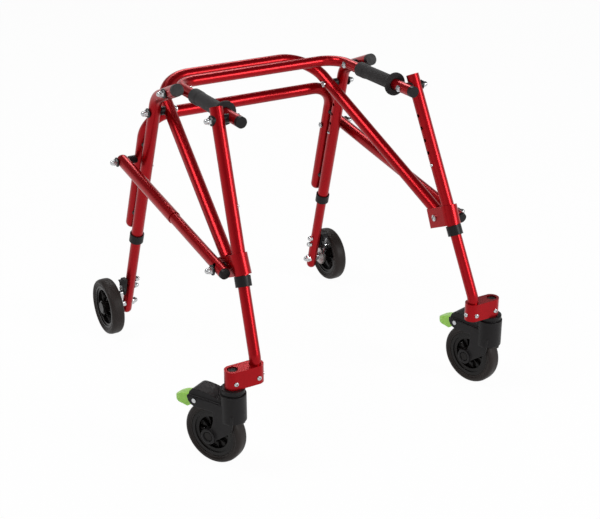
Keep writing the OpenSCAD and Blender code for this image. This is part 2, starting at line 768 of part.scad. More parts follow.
// Points of a smooth curve from a to c, drawn towards b
function bow(a, b, c, first = 0) = [for (i = [first : curve_steps]) let (u = i / curve_steps)
    (1 - u) * (1 - u) * a + 2 * u * (1 - u) * b + u * u * c];
module hood_outline(lip) {
    step = (hood_turn[1] - hood_turn[0]) / hood_facets;
    nose = [for (i = [0 : hood_facets]) let (a = hood_turn[0] + i * step)
        [hood_end_t, hood_end_z] + (hood_end_d / 2 + lip) * [cos(a), sin(a)]];
    crest = bow(nose[hood_facets], [hood_bend_t, hood_bend_z - lip],
        [hood_start_t, hood_start_z - lip], 1);
    polygon(concat([[0, hood_low_z - lip]], nose, crest, [[0, hood_start_z - lip]]));
}
module hood_lower() {
    intersection() {
        hood_outline(hood_lip);
        square([2 * rivet_t, hood_step_z]);
    }
}
module caster_fork_body() difference() {
    union() {
        side_plate(fork_w) arm_outline();
        side_plate(fork_w) hood_lower();
        side_plate(hood_w) hood_outline(0);
        pin(caster_trail, caster_r, fork_w + 2 * boss_proud, boss_d);
        translate([0, 0, housing_low_z]) cylinder(h = hood_z - housing_low_z, d = housing_d);
        translate([0, 0, hood_z]) cylinder(h = collar_groove_h, d = collar_groove_d);
        translate([0, 0, hood_z + collar_groove_h])
            cylinder(h = fork_top_z - hood_z - collar_groove_h, d = collar_ring_d);
    }
    pin(caster_trail, caster_r, fork_w - 2 * cheek_t, 2 * tyre_room_r);
    translate([0, 0, stem_end_z - run_gap]) cylinder(h = block_z, d = stem_d + 2 * pin_fit);
    pin(caster_trail, caster_r, 2 * fork_w, caster_axle_d + 2 * seat_fit);
    for (s = [left, right]) translate([caster_trail, s * (fork_w / 2 + boss_proud), caster_r])
        rotate([90, 0, 0]) cylinder(h = 2 * boss_recess, d = boss_recess_d, center = true);
    pin(rivet_t, rivet_z, 2 * fork_w, rivet_d + 2 * seat_fit);
    translate([rivet_t - pedal_hub_d / 2 - pedal_room, -pedal_w / 2 - run_gap, housing_low_z])
        cube([2 * rivet_t, pedal_w + 2 * run_gap, roof_z - housing_low_z]);
}
module caster_pins_body() {
    reach = fork_w + 2 * boss_proud - 2 * boss_recess;
    pin(caster_trail, caster_r, reach, caster_axle_d);
    for (s = [left, right]) translate([caster_trail, s * (reach + boss_recess / 2) / 2, caster_r])
        rotate([90, 0, 0]) cylinder(h = boss_recess / 2, d = axle_head_d, center = true);
    pin(rivet_t, rivet_z, fork_w, rivet_d);
    for (s = [left, right]) translate([rivet_t, s * (fork_w + rivet_head_h) / 2, rivet_z])
        rotate([90, 0, 0]) cylinder(h = rivet_head_h, d = rivet_head_d, center = true);
}
module brake_pedal_body() difference() {
    nose = [pedal_nose_t, pedal_nose_z];
    union() {
        pin(rivet_t, rivet_z, pedal_w, pedal_hub_d);
        side_plate(pedal_w) polygon(concat([[rivet_t, pedal_root_z]],
            bow([pedal_back_t, pedal_back_z], [pedal_crown_t, pedal_crown_z], nose),
            bow(nose, [pedal_chin_t, pedal_chin_z], [pedal_floor_t, pedal_floor_z], 1),
            [[pedal_low_t, pedal_low_z], [rivet_t, pedal_heel_z]]));
    }
    linear_extrude(hood_z) difference() {
        translate([pedal_round_t, -pedal_w]) square(2 * pedal_w);
        translate([pedal_round_t, 0]) circle(d = pedal_w - over);
    }
    pin(rivet_t, rivet_z, 2 * pedal_w, rivet_d + 2 * pin_fit);
}

// Wheels, drawn on an axis along +X with their middle at the origin
module tyre(d, w) rotate([0, 90, 0]) rotate_extrude() {
    r = d / 2;
    translate([r - tyre_depth, tyre_lip - w / 2]) square([tyre_depth - tyre_round, w - 2 * tyre_lip]);
    translate([r - tyre_depth, tyre_round - w / 2]) square([tyre_depth, w - 2 * tyre_round]);
    for (s = [left, right]) translate([r - tyre_round, s * (w / 2 - tyre_round)]) circle(r = tyre_round);
}
module rim(d, bore) rotate([0, 90, 0]) difference() {
    r = d / 2 - tyre_depth - seat_fit;
    union() {
        linear_extrude(rim_w, center = true) ring(2 * r, 2 * (r - rim_t));
        linear_extrude(hub_w, center = true) circle(d = hub_d);
        linear_extrude(web_t, center = true) circle(r = r - rim_t / 2);
        for (i = [0 : spokes - 1]) rotate([0, 0, i * 360 / spokes])
            translate([hub_d / 4, -spoke_t / 2, -spoke_w / 2])
                cube([r - rim_t / 2 - hub_d / 4, spoke_t, spoke_w]);
    }
    cylinder(h = 2 * d, d = bore + 2 * pin_fit, center = true);
}
function tooth_pt(r, share) = r * [cos(360 / ratchet_teeth * share), sin(360 / ratchet_teeth * share)];
module ratchet() color(steel) {
    r = ratchet_d / 2;
    translate([-rear_hub_in, 0, 0]) rotate([90, 0, 90]) difference() {
        union() {
            linear_extrude(ratchet_w) {
                circle(r = r - tooth_h);
                for (i = [0 : ratchet_teeth - 1]) rotate(i * 360 / ratchet_teeth + ratchet_phase)
                    polygon([[0, 0], tooth_pt(r - tooth_h, tooth_steep_share), tooth_pt(r, tooth_steep_share),
                        tooth_pt(r - tooth_h, tooth_end_share)]);
            }
            cylinder(h = rear_hub_in - hub_w / 2 - seat_fit, d = ratchet_neck_d);
        }
        translate([0, 0, -over]) cylinder(h = rear_hub_in, d = rear_axle_d + 2 * pin_fit);
    }
}

// Rear feet with the one-way pawls
axle_pt = [0, 0, axle_z];
axle_in = rear_leg_x - slide_r - washer_h;
axle_face = rear_wheel_x - rear_hub_in - run_gap;
module rear_foot() color(red) difference() {
    domed_rod(rear_leg_at(foot_low_z), rear_leg_at(rear_button_z) + button_end * rear_dir, slide_d);
    rod(rear_leg_at(foot_low_z) + foot_solid * rear_dir,
        rear_leg_at(rear_button_z) + (button_end + over) * rear_dir, slide_bore);
    cross_rod(axle_pt, rear_leg_x - main_d, rear_leg_x + main_d, rear_axle_d + 2 * seat_fit);
    for (z = [block_bolt_z_low, block_bolt_z_high]) let (p = rear_leg_at(z))
        cross_rod(p, p[0] - main_d, p[0] + main_d, block_bolt_d + 2 * seat_fit);
    button_hole(rear_leg_at(rear_button_z), inward(rear_dir));
}
module axle_set() color(steel) {
    end = rear_wheel_x + hub_w / 2 + run_gap;
    difference() {
        union() {
            cross_rod(axle_pt, axle_in - nut_h, end, rear_axle_d);
            cross_rod(axle_pt, axle_in - nut_h, axle_in, nut_d, $fn = 6);
            translate([axle_in - nut_h, 0, axle_z]) sphere(d = dome_d);
            cross_rod(axle_pt, end, end + head_h, head_d);
        }
        translate([end + head_h - socket_h, 0, axle_z]) rotate([0, 90, 0])
            cylinder(h = 2 * socket_h, d = socket_d, $fn = 6);
    }
    difference() {
        washer(axle_pt, axle_in, axle_face, axle_washer_d, rear_axle_d);
        rod(rear_leg_at(foot_low_z), rear_leg_at(block_low_z), slide_d + 2 * seat_fit);
    }
    for (z = [block_bolt_z_low, block_bolt_z_high]) let (p = rear_leg_at(z)) {
        cross_rod(p, p[0] - slide_r - nut_h, p[0] + block_out - head_h, block_bolt_d);
        translate([p[0] - slide_r - nut_h, p[1], p[2]]) rotate([0, 90, 0])
            cylinder(h = nut_h - seat_fit, d = head_d, $fn = 6);
        translate([p[0] - slide_r - nut_h, p[1], p[2]]) sphere(d = head_d - head_h);
        cross_rod(p, p[0] + block_out - head_h, p[0] + block_out, head_d - head_h);
    }
}
module pawl_block() color(black) difference() {
    x0 = rear_leg_x;
    y0 = spring_y - shelf_w / 2;
    low_y = rear_leg_at(block_low_z)[1];
    top_y = rear_leg_at(block_top_z)[1];
    union() {
        translate([x0 + block_in, 0, 0]) rotate([90, 0, 90]) linear_extrude(block_out - block_in)
            polygon([[low_y + block_y_room, block_low_z], [top_y + block_y_room, block_top_z],
                [top_y - block_y_room, block_top_z], [low_y - block_y_room, block_low_z]]);
        translate([x0 + lug_in, 0, 0]) rotate([90, 0, 90]) linear_extrude(lug_out - lug_in)
            polygon([[low_y, block_low_z + over], [top_y, lug_top_z], [pawl_y - lug_room, pawl_z + lug_room],
                [pawl_y - lug_room, block_low_z + over]]);
        translate([x0 + lug_in, y0, shelf_z])
            cube([shelf_out - lug_in, shelf_w, block_top_z - shelf_z - over]);
    }
    rod(rear_leg_at(foot_low_z), rear_leg_at(rear_collar_z), slide_d + 2 * seat_fit);
    for (z = [block_bolt_z_low, block_bolt_z_high]) let (p = rear_leg_at(z)) {
        cross_rod(p, p[0], p[0] + 2 * block_out, block_bolt_d + 2 * seat_fit);
        cross_rod(p, p[0] + block_out - head_h - seat_fit, p[0] + 2 * block_out,
            head_d - head_h + 2 * seat_fit);
    }
    cross_rod([0, pawl_y, pawl_z], x0, x0 + block_out + over, pawl_pin_d + 2 * pin_fit);
}
pawl_x = rear_wheel_x - rear_hub_in;
pawl_pt = [0, pawl_y, pawl_z];
pawl_tip = [pawl_tip_r * cos(pawl_tip_dir), axle_z + pawl_tip_r * sin(pawl_tip_dir)];
module pawl() color(steel) {
    way = pawl_tip - [pawl_y, pawl_z];
    square_to = unit([-way[1], way[0]]);
    translate([pawl_x, 0, 0]) rotate([90, 0, 90]) linear_extrude(pawl_w) {
        translate([pawl_y, pawl_z]) circle(d = pawl_d);
        polygon([[pawl_y, pawl_z] + pawl_d / 2 * square_to, pawl_tip + pawl_tip_w / 2 * square_to,
            pawl_tip - pawl_tip_w / 2 * square_to, [pawl_y, pawl_z] - pawl_d / 2 * square_to]);
    }
    cross_rod(pawl_pt, rear_leg_x + slide_r + over, pawl_x + pawl_w / 2, pawl_pin_d);
}

// The pawl's spring, one wire wound between the pawl and the block's shelf
spring_low = pawl_z + pawl_d / 2 + run_gap;
spring_high = shelf_z - run_gap;
spring_x = pawl_x + pawl_w / 2;
coil_r = (spring_d - spring_wire) / 2;
spring_count = spring_turns * spring_steps;
spring_rise = (spring_high - spring_low - 2 * spring_wire) / spring_count;
function coil(i) = let (a = 360 * i / spring_steps)
    [coil_r * cos(a), coil_r * sin(a), spring_wire + i * spring_rise];
spring_path = concat([[coil_r, 0, 0]], [for (i = [0 : spring_count]) coil(i)],
    [[coil_r, 0, spring_high - spring_low]]);
function tangent(p, i) = i == 0 ? unit(p[1] - p[0])
    : i == len(p) - 1 ? unit(p[i] - p[i - 1]) : unit(unit(p[i + 1] - p[i]) + unit(p[i] - p[i - 1]));
function wire_ring(p, i) = let (t = tangent(p, i), out = unit([p[i][0], p[i][1], 0]),
    e = unit(out - (out * t) * t), f = cross(t, e))
    [for (k = [0 : spring_sides - 1]) p[i] + spring_wire / 2 * (cos(360 * k / spring_sides) * e
        + sin(360 * k / spring_sides) * f)];
coil_steps = [for (i = [0 : spring_count - spring_steps]) norm(coil(i + spring_steps) - coil(i))];
echo(spring_least_gap = min(coil_steps) - spring_wire);
module pawl_spring() color(steel) translate([spring_x, spring_y, spring_low]) {
    n = len(spring_path);
    m = spring_sides;
    points = [for (i = [0 : n - 1]) each wire_ring(spring_path, i)];
    walls = [for (i = [0 : n - 2]) for (k = [0 : m - 1]) each [
        [i * m + k, (i + 1) * m + k, i * m + (k + 1) % m],
        [i * m + (k + 1) % m, (i + 1) * m + k, (i + 1) * m + (k + 1) % m]]];
    ends = [for (k = [1 : m - 2]) each [[0, k, k + 1], [(n - 1) * m, (n - 1) * m + k + 1, (n - 1) * m + k]]];
    polyhedron(points = points, faces = concat(walls, ends));
}

// The left and right copies
module left_strut_tube() on_side(left) strut_tube();
module right_strut_tube() on_side(right) strut_tube();
module left_strut_slider() on_side(left) strut_slider();
module right_strut_slider() on_side(right) strut_slider();
module left_strut_plug() on_side(left) strut_plug();
module right_strut_plug() on_side(right) strut_plug();
module strut_button_part() snap_button(strut_button, strut_down, -strut_dir);
module left_strut_button() on_side(left) strut_button_part();
module right_strut_button() on_side(right) strut_button_part();
module left_front_leg() on_side(left) front_leg();
module right_front_leg() on_side(right) front_leg();
module front_button() snap_button(upright_at(front_button_z), inward(upright_dir), upright_dir);
module left_front_button() on_side(left) front_button();
module right_front_button() on_side(right) front_button();
module left_caster_block() on_side(left) caster_block();
module right_caster_block() on_side(right) caster_block();
module left_caster_bolts() on_side(left) caster_bolts();
module right_caster_bolts() on_side(right) caster_bolts();
module left_caster_fork() color(black) at_caster(left) caster_fork_body();
module right_caster_fork() color(black) at_caster(right) caster_fork_body();
module left_caster_pins() color(steel) at_caster(left) caster_pins_body();
module right_caster_pins() color(steel) at_caster(right) caster_pins_body();
module left_brake_pedal() color(green) at_caster(left) brake_pedal_body();
module right_brake_pedal() color(green) at_caster(right) brake_pedal_body();
module on_caster_axle(s) at_caster(s) translate([caster_trail, 0, caster_r]) rotate([0, 0, 90]) children();
module left_caster_tyre() color(rubber) on_caster_axle(left) tyre(caster_wheel_d, caster_tyre_w);
module right_caster_tyre() color(rubber) on_caster_axle(right) tyre(caster_wheel_d, caster_tyre_w);
module left_caster_rim() color(black) on_caster_axle(left) rim(caster_wheel_d, caster_axle_d);
module right_caster_rim() color(black) on_caster_axle(right) rim(caster_wheel_d, caster_axle_d);
module left_rear_foot() on_side(left) rear_foot();
module right_rear_foot() on_side(right) rear_foot();
module rear_button() snap_button(rear_leg_at(rear_button_z), inward(rear_dir), rear_dir);
module left_rear_button() on_side(left) rear_button();
module right_rear_button() on_side(right) rear_button();
module left_axle_set() on_side(left) axle_set();
module right_axle_set() on_side(right) axle_set();
module left_pawl_block() on_side(left) pawl_block();
module right_pawl_block() on_side(right) pawl_block();
module left_pawl() on_side(left) pawl();
module right_pawl() on_side(right) pawl();
module left_pawl_spring() on_side(left) pawl_spring();
module right_pawl_spring() on_side(right) pawl_spring();
module on_rear_axle(s) on_side(s) translate([rear_wheel_x, 0, axle_z]) children();
module left_rear_tyre() color(rubber) on_rear_axle(left) tyre(rear_wheel_d, rear_tyre_w);
module right_rear_tyre() color(rubber) on_rear_axle(right) tyre(rear_wheel_d, rear_tyre_w);
module left_rear_hub() color(black) on_rear_axle(left) rim(rear_wheel_d, rear_axle_d);
module right_rear_hub() color(black) on_rear_axle(right) rim(rear_wheel_d, rear_axle_d);
module left_ratchet() on_rear_axle(left) ratchet();
module right_ratchet() on_rear_axle(right) ratchet();

back_bow();
corner_brackets();
front_uprights();
handle_bow();
hand_grips();
handle_plugs();
front_collars();
frame_bolts();
frame_cap_nuts();
frame_washers();
rear_legs();
lower_cross_bow();
rear_leg_caps();
rear_collars();
rear_spacers();
strut_bolts();
left_strut_tube();
right_strut_tube();
left_strut_slider();
right_strut_slider();
left_strut_plug();
right_strut_plug();
left_strut_button();
right_strut_button();
left_front_leg();
right_front_leg();
left_front_button();
right_front_button();
left_caster_block();
right_caster_block();
left_caster_bolts();
right_caster_bolts();
left_caster_fork();
right_caster_fork();
left_caster_pins();
right_caster_pins();
left_brake_pedal();
right_brake_pedal();
left_caster_tyre();
right_caster_tyre();
left_caster_rim();
right_caster_rim();
left_rear_foot();
right_rear_foot();
left_rear_button();
right_rear_button();
left_axle_set();
right_axle_set();
left_pawl_block();
right_pawl_block();
left_pawl();
right_pawl();
left_pawl_spring();
right_pawl_spring();
left_rear_tyre();
right_rear_tyre();
left_rear_hub();
right_rear_hub();
left_ratchet();
right_ratchet();
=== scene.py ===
"""Posterior walker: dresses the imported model, builds the moulded and soft pieces, and sets the studio."""
import json
import logging
import math
from dataclasses import dataclass, field
from enum import Enum
from typing import Dict, List, Optional, Sequence, Tuple

import bmesh
import bpy
from mathutils import Matrix, Vector


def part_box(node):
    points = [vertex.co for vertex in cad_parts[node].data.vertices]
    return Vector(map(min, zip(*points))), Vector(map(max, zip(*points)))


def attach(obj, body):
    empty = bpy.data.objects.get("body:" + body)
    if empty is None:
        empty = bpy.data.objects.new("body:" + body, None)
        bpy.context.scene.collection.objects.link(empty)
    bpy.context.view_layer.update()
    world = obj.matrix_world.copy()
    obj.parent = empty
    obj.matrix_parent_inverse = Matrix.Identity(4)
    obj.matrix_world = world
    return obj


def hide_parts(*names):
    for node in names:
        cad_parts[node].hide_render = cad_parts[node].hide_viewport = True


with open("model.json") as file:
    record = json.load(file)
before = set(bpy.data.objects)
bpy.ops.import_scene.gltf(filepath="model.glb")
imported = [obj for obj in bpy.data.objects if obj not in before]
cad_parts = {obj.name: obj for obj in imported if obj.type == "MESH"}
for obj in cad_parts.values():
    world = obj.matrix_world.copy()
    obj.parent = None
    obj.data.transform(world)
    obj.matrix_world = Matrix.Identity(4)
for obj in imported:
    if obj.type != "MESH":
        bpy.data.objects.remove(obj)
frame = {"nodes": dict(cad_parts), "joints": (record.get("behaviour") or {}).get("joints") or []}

LOG = logging.getLogger("walker")
Profile = List[Tuple[float, float]]
Place = Tuple[float, float, float]
# A millimetre in the frame's metres.
MM = 0.001
# Points nearer than this count as one.
MERGE = 0.0005 * MM
# Edges that turn more than this stay sharp on a crisp piece.
CRISP_ANGLE = math.radians(32)
# How far along each side a corner is cut.
CORNER_CUT = 0.25
# The slow noise that a finish's colour and gloss drift with.
CLOUD_DETAIL = 4.0
CLOUD_ROUGHNESS = 0.6
CLOUD_SPAN = (0.3, 0.7)
# The reliefs: the detail of grain and of rubbing marks, the marks' stretch, and the softness of cells.
GRAIN_DETAIL = 3.0
BRUSH_DETAIL = 2.0
BRUSH_STRETCH = (1.0, 1.0, 0.12)
CELL_SOFTNESS = 0.6
WHITE = "#FFFFFF"


class Side(Enum):
    """The walker's two sides, by the sign of X."""

    LEFT = "left"
    RIGHT = "right"

    @property
    def sign(self) -> float:
        """-1 on the left and 1 on the right."""
        return -1.0 if self is Side.LEFT else 1.0

    def node(self, name: str) -> str:
        """The side's own name for a node, body or joint."""
        return f"{self.value}_{name}"


class Relief(Enum):
    """The kinds of surface relief a finish can have."""

    GRAIN = "grain"
    CELLS = "cells"
    BRUSHED = "brushed"


class Slot(Enum):
    """The record's material slots by name; nothing in this script uses them."""

    BLACK = "black_plastic"
    STEEL = "bright_steel"
    TYRE = "tyre"
    FOAM = "grip_foam"
    GREEN = "green_plastic"


def linear(code: str) -> Tuple[float, float, float, float]:
    """Turns an sRGB hex colour to linear light.

    Args:
        code: six hex digits after a hash sign.

    Returns:
        Red, green, blue and an alpha of 1.
    """
    parts = [int(code[i:i + 2], 16) / 255 for i in (1, 3, 5)]
    lin = [c / 12.92 if c <= 0.04045 else ((c + 0.055) / 1.055) ** 2.4 for c in parts]
    return lin[0], lin[1], lin[2], 1.0


def add(tree: bpy.types.NodeTree, kind: str, settings: Optional[dict] = None,
        inputs: Optional[dict] = None) -> bpy.types.Node:
    """Adds one node with its settings, constants and links.

    Args:
        tree: the node tree.
        kind: the node's type name.
        settings: attributes of the node itself.
        inputs: values or output sockets by input name or index.

    Returns:
        The new node.
    """
    node = tree.nodes.new(kind)
    for key, value in (settings or {}).items():
        setattr(node, key, value)
    for key, value in (inputs or {}).items():
        if isinstance(value, bpy.types.NodeSocket):
            tree.links.new(value, node.inputs[key])
        else:
            node.inputs[key].default_value = value
    return node


@dataclass(frozen=True)
class Finish:
    """A real finish: its colours, its gloss, and the sizes of its pattern in millimetres."""

    name: str
    colour: str
    drift_to: str
    roughness: float
    uneven: float
    drift_mm: float
    relief: Relief
    relief_mm: float
    depth_mm: float
    metallic: float = 0.0
    ior: float = 1.5
    coat: float = 0.0
    coat_roughness: float = 0.1
    sheen: float = 0.0
    specular: float = 0.5

    def make(self) -> bpy.types.Material:
        """Builds the node material.

        Returns:
            The material, ready to assign.
        """
        material = bpy.data.materials.new(self.name)
        material.use_nodes = True
        tree = material.node_tree
        tree.nodes.clear()
        place = add(tree, "ShaderNodeTexCoord").outputs["Object"]
        cloud = add(tree, "ShaderNodeTexNoise", None, {
            "Vector": place, "Scale": 1 / (self.drift_mm * MM), "Detail": CLOUD_DETAIL,
            "Roughness": CLOUD_ROUGHNESS}).outputs[0]
        colour = add(tree, "ShaderNodeMix", {"data_type": "RGBA"}, {
            "Factor": cloud, 6: linear(self.colour), 7: linear(self.drift_to)}).outputs[2]
        gloss = add(tree, "ShaderNodeMapRange", None, {
            "Value": cloud, "From Min": CLOUD_SPAN[0], "From Max": CLOUD_SPAN[1],
            "To Min": self.roughness - self.uneven, "To Max": self.roughness + self.uneven}).outputs[0]
        normal = add(tree, "ShaderNodeBump", None, {
            "Height": self.height(tree, place), "Distance": self.depth_mm * MM, "Strength": 1.0}).outputs[0]
        shader = add(tree, "ShaderNodeBsdfPrincipled", None, {
            "Base Color": colour, "Roughness": gloss, "Normal": normal, "Metallic": self.metallic,
            "IOR": self.ior, "Coat Weight": self.coat, "Coat Roughness": self.coat_roughness,
            "Sheen Weight": self.sheen, "Specular IOR Level": self.specular})
        add(tree, "ShaderNodeOutputMaterial", None, {"Surface": shader.outputs[0]})
        return material

    def height(self, tree: bpy.types.NodeTree, place: bpy.types.NodeSocket) -> bpy.types.NodeSocket:
        """The finish's relief as a height.

        Args:
            tree: the material's node tree.
            place: the coordinates socket.

        Returns:
            The socket with the height, from 0 to 1.
        """
        scale = 1 / (self.relief_mm * MM)
        if self.relief is Relief.CELLS:
            return add(tree, "ShaderNodeTexVoronoi", {"feature": "SMOOTH_F1"}, {
                "Vector": place, "Scale": scale, "Smoothness": CELL_SOFTNESS}).outputs["Distance"]
        if self.relief is Relief.BRUSHED:
            stretched = add(tree, "ShaderNodeMapping", None, {
                "Vector": place, "Scale": BRUSH_STRETCH}).outputs[0]
            return add(tree, "ShaderNodeTexNoise", None, {
                "Vector": stretched, "Scale": scale, "Detail": BRUSH_DETAIL}).outputs[0]
        return add(tree, "ShaderNodeTexNoise", None, {
            "Vector": place, "Scale": scale, "Detail": GRAIN_DETAIL}).outputs[0]


# Aluminium tube with a candy powder coat: a bright base under tinted lacquer, so the red is deep at the
# edges and almost pink where a lamp shows. Its orange peel is 1 mm and is drawn at 5 mm to show at all.
CANDY_RED = Finish(
    "CandyRedPowderCoatOnAluminium", colour="#A60210", drift_to="#8E010B", roughness=0.34, uneven=0.02,
    drift_mm=60.0, relief=Relief.GRAIN, relief_mm=5.0, depth_mm=0.002, metallic=0.75, coat=0.2,
    coat_roughness=0.27, specular=0.05)
# Glass-filled nylon, injection moulded with a spark-eroded texture: a soft dark grey sheen.
BLACK_NYLON = Finish(
    "MouldedGlassFilledNylonBlack", colour="#1A1819", drift_to="#141213", roughness=0.42, uneven=0.05,
    drift_mm=12.0, relief=Relief.GRAIN, relief_mm=0.9, depth_mm=0.02, ior=1.53, specular=0.16)
# Polypropylene wheel centre, moulded smooth: darker than the fork and a little glossier.
WHEEL_PP = Finish(
    "MouldedPolypropyleneBlack", colour="#171312", drift_to="#100E0D", roughness=0.28, uneven=0.05,
    drift_mm=10.0, relief=Relief.GRAIN, relief_mm=1.1, depth_mm=0.015, ior=1.49, specular=0.18)
# Zinc-plated steel fasteners, barrel plated: bright with faint rubbing marks.
ZINC_STEEL = Finish(
    "ZincPlatedSteelBarrelBright", colour="#D2D3D4", drift_to="#A9ABAD", roughness=0.24, uneven=0.06,
    drift_mm=4.0, relief=Relief.BRUSHED, relief_mm=0.8, depth_mm=0.01, metallic=1.0)
# Zinc die casting, tumbled and left bare: paler and duller than the plated steel.
CAST_ZINC = Finish(
    "TumbledZincDieCasting", colour="#D6D1CF", drift_to="#B9B4B2", roughness=0.46, uneven=0.05, drift_mm=3.0,
    relief=Relief.GRAIN, relief_mm=0.8, depth_mm=0.02, metallic=1.0)
# Steel with an oiled black oxide: nearly black, with a dull steel glint on its edges.
BLACK_OXIDE = Finish(
    "OiledBlackOxideSteel", colour="#2A2827", drift_to="#1B1A1A", roughness=0.4, uneven=0.06, drift_mm=5.0,
    relief=Relief.BRUSHED, relief_mm=0.8, depth_mm=0.01, metallic=0.85, specular=0.3)
# Solid polyurethane tyre, moulded: warm near-black, dull, with a trace of floor dust.
TYRE_PU = Finish(
    "MouldedPolyurethaneTyre", colour="#231E1C", drift_to="#2A2422", roughness=0.5, uneven=0.07,
    drift_mm=18.0, relief=Relief.GRAIN, relief_mm=1.0, depth_mm=0.03, specular=0.18)
# Closed-cell nitrile foam, skived: matt charcoal with a fine cell pattern, drawn at 0.9 mm.
FOAM = Finish(
    "ClosedCellNitrileFoamSleeve", colour="#222021", drift_to="#2A2829", roughness=0.86, uneven=0.04,
    drift_mm=9.0, relief=Relief.CELLS, relief_mm=0.9, depth_mm=0.1, ior=1.45, sheen=0.12, specular=0.25)
# Green nylon pedal, moulded and self-coloured: a soft gloss with slight flow marks.
GREEN_NYLON = Finish(
    "MouldedNylonLeafGreen", colour="#A6E060", drift_to="#9AD556", roughness=0.36, uneven=0.05,
    drift_mm=14.0, relief=Relief.GRAIN, relief_mm=1.0, depth_mm=0.015, ior=1.53, specular=0.35)


@dataclass
class Workshop:
    """Makes pieces and finishes, and keeps each finish once made."""

    finishes: Dict[str, bpy.types.Material] = field(default_factory=dict)

    def paint(self, finish: Finish) -> bpy.types.Material:
        """The material of a finish, made once.

        Args:
            finish: the finish.

        Returns:
            Its material.
        """
        if finish.name not in self.finishes:
            self.finishes[finish.name] = finish.make()
        return self.finishes[finish.name]

    def dress(self, node: str, finish: Finish) -> None:
        """Gives a CAD node a finish.

        Args:
            node: the node's name.
            finish: the finish it takes.
        """
        piece = frame["nodes"][node]
        if not piece.material_slots:
            piece.data.materials.append(None)
        for slot in piece.material_slots:
            slot.material = self.paint(finish)
        LOG.info("dressed %s in %s", node, finish.name)

    def put(self, name: str, mesh: bpy.types.Mesh, finish: Finish, body: str,
            stands_for: Sequence[str], crisp: bool = False) -> bpy.types.Object:
        """Places a built piece on its body.

        Args:
            name: the piece's name.
            mesh: its mesh, in the frame.
            finish: its finish.
            body: the CAD body it rides on.
            stands_for: the CAD nodes it replaces.
            crisp: whether its edges stay sharp, as on turned and forged steel.

        Returns:
            The piece.
        """
        piece = bpy.data.objects.new(name, mesh)
        bpy.context.scene.collection.objects.link(piece)
        mesh.materials.clear()
        mesh.materials.append(self.paint(finish))
        for polygon in mesh.polygons:
            polygon.material_index = 0
            polygon.use_smooth = True
        if crisp:
            mesh.set_sharp_from_angle(angle=CRISP_ANGLE)
        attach(piece, body)
        if stands_for:
            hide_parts(*stands_for)
        LOG.info("built %s on %s", name, body)
        return piece


def stand(centre: Vector, axis: Vector) -> Matrix:
    """The move that takes the origin to a centre and Z to an axis."""
    return Matrix.Translation(centre) @ axis.normalized().to_track_quat("Z", "Y").to_matrix().to_4x4()


def revolve(profile: Profile, centre: Vector, axis: Vector, steps: int) -> bpy.types.Mesh:
    """Turns a closed profile about an axis.

    Args:
        profile: points of radius and distance along the axis, in metres, in order round the section.
        centre: the point on the axis that the distances start from.
        axis: the axis's direction.
        steps: the number of facets round.

    Returns:
        The closed mesh.
    """
    shape = bmesh.new()
    rings = []
    for i in range(steps):
        a = 2 * math.pi * i / steps
        rings.append([shape.verts.new((r * math.cos(a), r * math.sin(a), u)) for r, u in profile])
    count = len(profile)
    for i in range(steps):
        here, there = rings[i], rings[(i + 1) % steps]
        for j in range(count):
            k = (j + 1) % count
            shape.faces.new((here[j], there[j], there[k], here[k]))
    bmesh.ops.remove_doubles(shape, verts=shape.verts, dist=MERGE)
    bmesh.ops.recalc_face_normals(shape, faces=shape.faces)
    shape.transform(stand(centre, axis))
    mesh = bpy.data.meshes.new("turned")
    shape.to_mesh(mesh)
    shape.free()
    return mesh


def rounded(profile: Profile, passes: int) -> Profile:
    """Cuts the corners of a closed profile, Chaikin's way.

    Args:
        profile: the control points.
        passes: how many times the corners are cut.

    Returns:
        The smoother profile.
    """
    for _ in range(passes):
        cut: Profile = []
        for (r0, u0), (r1, u1) in zip(profile, profile[1:] + profile[:1]):
            for far in (CORNER_CUT, 1 - CORNER_CUT):
                cut.append(((1 - far) * r0 + far * r1, (1 - far) * u0 + far * u1))
        profile = cut
    return profile


@dataclass(frozen=True)
class Mould:
    """How a moulded piece gets its rounded edges and fillets: a grid, and passes that relax the surface."""

    voxel_mm: float
    passes: int
    keep: float
    pull: float = 0.5

    def cast(self, node: str) -> bpy.types.Mesh:
        """A node's shape as the mould leaves it.

        Args:
            node: the CAD node that gives the shape.

        Returns:
            The rounded mesh, with the kept share of its faces.
        """
        work = bpy.data.objects.new(f"{node}_work", frame["nodes"][node].data.copy())
        bpy.context.scene.collection.objects.link(work)
        grid = work.modifiers.new("grid", "REMESH")
        grid.mode, grid.voxel_size, grid.use_smooth_shade = "VOXEL", self.voxel_mm * MM, True
        relax = work.modifiers.new("relax", "SMOOTH")
        relax.factor, relax.iterations = self.pull, self.passes
        thin = work.modifiers.new("thin", "DECIMATE")
        thin.ratio = self.keep
        baked = bpy.data.meshes.new_from_object(work.evaluated_get(bpy.context.evaluated_depsgraph_get()))
        bpy.data.objects.remove(work)
        return baked


